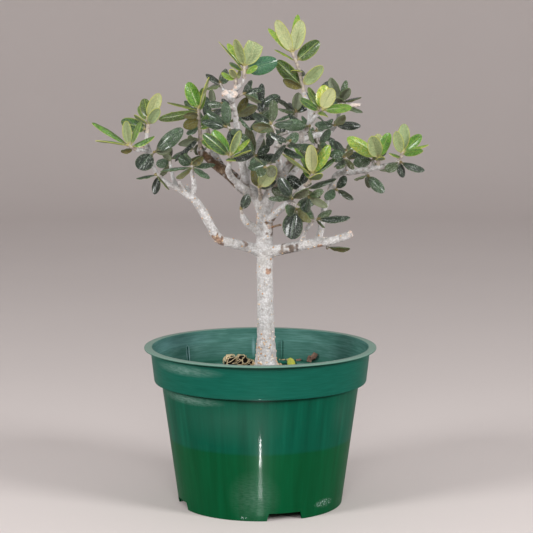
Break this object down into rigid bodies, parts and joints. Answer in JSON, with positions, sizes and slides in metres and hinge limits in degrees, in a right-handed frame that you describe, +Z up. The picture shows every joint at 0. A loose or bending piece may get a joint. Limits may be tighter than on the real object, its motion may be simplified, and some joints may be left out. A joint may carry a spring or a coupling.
{
  "type": "olive bonsai",
  "caption": "Small olive tree grown as a bonsai, pale trunk and forked branches with leathery green leaves, in a round green plastic nursery pot.",
  "frame": {"origin": "on the table, under the middle of the pot and of the whole object", "axes": "+Z up along the trunk; +Y to the back, with the front facing -Y"},
  "size_m": [0.2313, 0.165, 0.3462],
  "materials": {
    "pot_plastic": "satin",
    "potting_soil": "matte",
    "bark": "matte",
    "potting_clump": "matte",
    "bark_chip": "matte",
    "old_leaf": "satin",
    "young_leaf": "satin"
  },
  "bodies": {
    "root": {"pot": "pot_plastic", "soil": "potting_soil", "trunk_and_branches": "bark", "potting_clump": "potting_clump", "bark_chip": "bark_chip", "fallen_leaf": "young_leaf", "shoot_far_left": "young_leaf", "shoot_left_upright": "young_leaf", "shoot_left_inner": "old_leaf", "shoot_left_low": "old_leaf", "shoot_left_back": "old_leaf", "shoot_left_middle": "old_leaf", "shoot_front_left_bright": "young_leaf", "shoot_mid_left": "young_leaf", "shoot_mid_left_dark": "old_leaf", "shoot_dark_left_a": "old_leaf", "shoot_dark_left_b": "old_leaf", "shoot_dark_left_c": "old_leaf", "shoot_upright_left": "old_leaf", "shoot_upright_tip": "young_leaf", "shoot_upright_top": "young_leaf", "shoot_upright_right": "old_leaf", "shoot_top_middle": "old_leaf", "shoot_inner_left": "old_leaf", "shoot_middle_front": "old_leaf", "shoot_middle_front_low": "old_leaf", "shoot_left_of_centre": "old_leaf", "shoot_centre_low": "young_leaf", "shoot_centre_leaf": "old_leaf", "shoot_centre_top": "old_leaf", "shoot_spotted": "old_leaf", "shoot_right_spray": "old_leaf", "shoot_yellow_right": "young_leaf", "shoot_leader_dark": "old_leaf", "shoot_leader": "young_leaf", "shoot_right_top": "old_leaf", "shoot_right_top_low": "old_leaf", "shoot_yellow_centre": "young_leaf", "shoot_centre_right_a": "old_leaf", "shoot_centre_right_b": "old_leaf", "shoot_centre_right_hang": "old_leaf", "shoot_centre_right_c": "old_leaf", "shoot_thin_twig": "old_leaf", "shoot_low_right": "old_leaf", "shoot_right_upright_side": "old_leaf", "shoot_right_limb_front": "old_leaf", "shoot_right_limb_back": "old_leaf", "shoot_right_limb_a": "old_leaf", "shoot_right_limb_b": "young_leaf", "shoot_right_limb_low": "old_leaf", "shoot_right_end": "young_leaf", "shoot_right_end_old": "old_leaf", "shoot_back_right": "old_leaf", "shoot_back_low_left": "old_leaf", "shoot_back_left_high": "old_leaf", "shoot_back_middle_low": "old_leaf", "shoot_back_right_low": "old_leaf", "shoot_back_right_side": "old_leaf", "shoot_front_middle_high": "old_leaf", "shoot_lower_stub": "old_leaf"}
  },
  "joints": []
}
